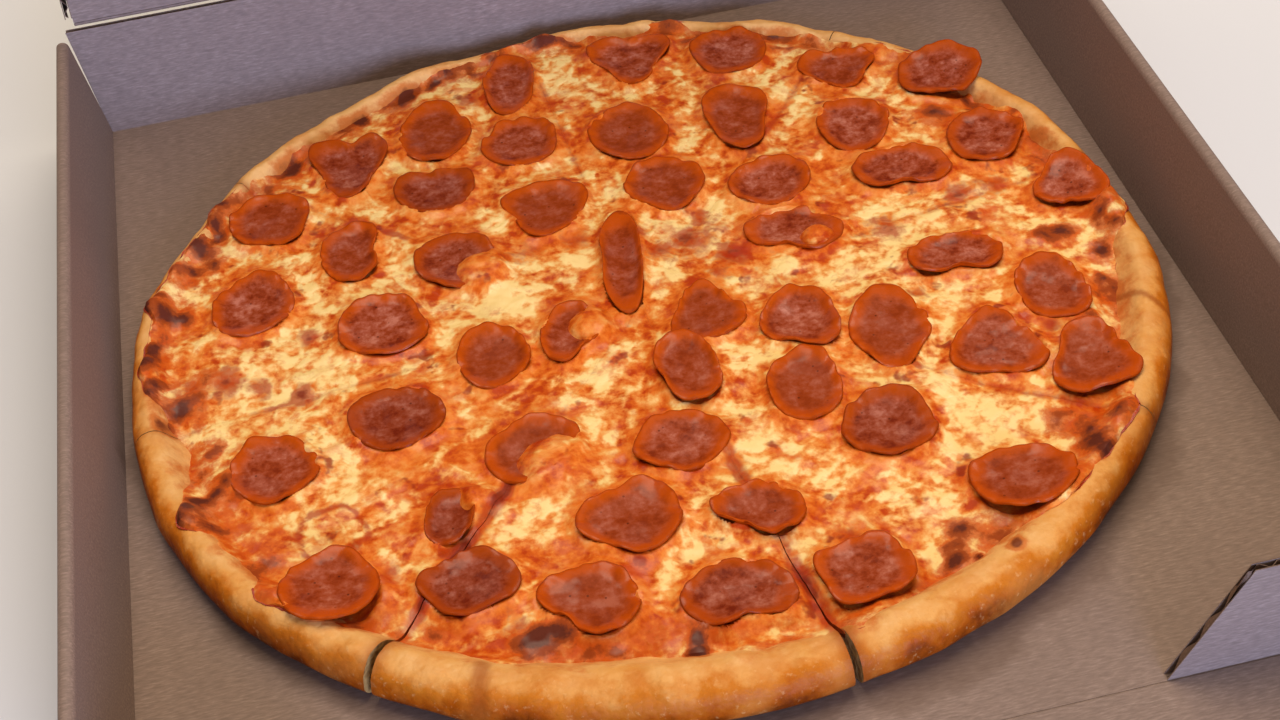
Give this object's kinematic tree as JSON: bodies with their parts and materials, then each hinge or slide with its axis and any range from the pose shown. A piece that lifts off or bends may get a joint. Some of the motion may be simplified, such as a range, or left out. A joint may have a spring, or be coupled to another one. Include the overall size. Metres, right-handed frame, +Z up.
{
  "type": "pizza in its box",
  "caption": "Large thin pepperoni pizza cut into wedges, lying in an open corrugated kraft board box with a hinged lid.",
  "frame": {"origin": "middle of the underside of the tray's floor, on the ground", "axes": "+Z up; -Y to the open front of the tray, +Y to the fold of the lid; +X to the right seen from the front"},
  "size_m": [0.4276, 0.5671, 0.4844],
  "materials": {
    "kraft_board": null,
    "baked_pizza": null,
    "pepperoni_meat": null
  },
  "bodies": {
    "box": {"tray": "kraft_board", "slice_1": "baked_pizza", "slice_2": "baked_pizza", "slice_3": "baked_pizza", "slice_4": "baked_pizza", "slice_5": "baked_pizza", "slice_6": "baked_pizza", "slice_7": "baked_pizza", "slice_8": "baked_pizza", "pepperoni_01": "pepperoni_meat", "pepperoni_02": "pepperoni_meat", "pepperoni_03": "pepperoni_meat", "pepperoni_04": "pepperoni_meat", "pepperoni_05": "pepperoni_meat", "pepperoni_06": "pepperoni_meat", "pepperoni_07": "pepperoni_meat", "pepperoni_08": "pepperoni_meat", "pepperoni_09": "pepperoni_meat", "pepperoni_10": "pepperoni_meat", "pepperoni_11": "pepperoni_meat", "pepperoni_12": "pepperoni_meat", "pepperoni_13": "pepperoni_meat", "pepperoni_14": "pepperoni_meat", "pepperoni_15": "pepperoni_meat", "pepperoni_16": "pepperoni_meat", "pepperoni_17": "pepperoni_meat", "pepperoni_18": "pepperoni_meat", "pepperoni_19": "pepperoni_meat", "pepperoni_20": "pepperoni_meat", "pepperoni_21": "pepperoni_meat", "pepperoni_22": "pepperoni_meat", "pepperoni_23": "pepperoni_meat", "pepperoni_24": "pepperoni_meat", "pepperoni_25": "pepperoni_meat", "pepperoni_26": "pepperoni_meat", "pepperoni_27": "pepperoni_meat", "pepperoni_28": "pepperoni_meat", "pepperoni_29": "pepperoni_meat", "pepperoni_30": "pepperoni_meat", "pepperoni_31": "pepperoni_meat", "pepperoni_32": "pepperoni_meat", "pepperoni_33": "pepperoni_meat", "pepperoni_34": "pepperoni_meat", "pepperoni_35": "pepperoni_meat", "pepperoni_36": "pepperoni_meat", "pepperoni_37": "pepperoni_meat", "pepperoni_38": "pepperoni_meat", "pepperoni_39": "pepperoni_meat", "pepperoni_40": "pepperoni_meat", "pepperoni_41": "pepperoni_meat", "pepperoni_42": "pepperoni_meat", "pepperoni_43": "pepperoni_meat", "pepperoni_44": "pepperoni_meat", "pepperoni_45": "pepperoni_meat", "pepperoni_46": "pepperoni_meat", "pepperoni_47": "pepperoni_meat", "pepperoni_48": "pepperoni_meat", "pepperoni_49": "pepperoni_meat", "pepperoni_50": "pepperoni_meat"},
    "lid": {"lid": "kraft_board"}
  },
  "joints": [
    {"name": "lid_fold", "type": "hinge", "parent": "box", "child": "lid", "pos_m": [0, 0.21625, 0.0551], "axis": [1, 0, 0], "range_deg": [-75, 102]}
  ]
}
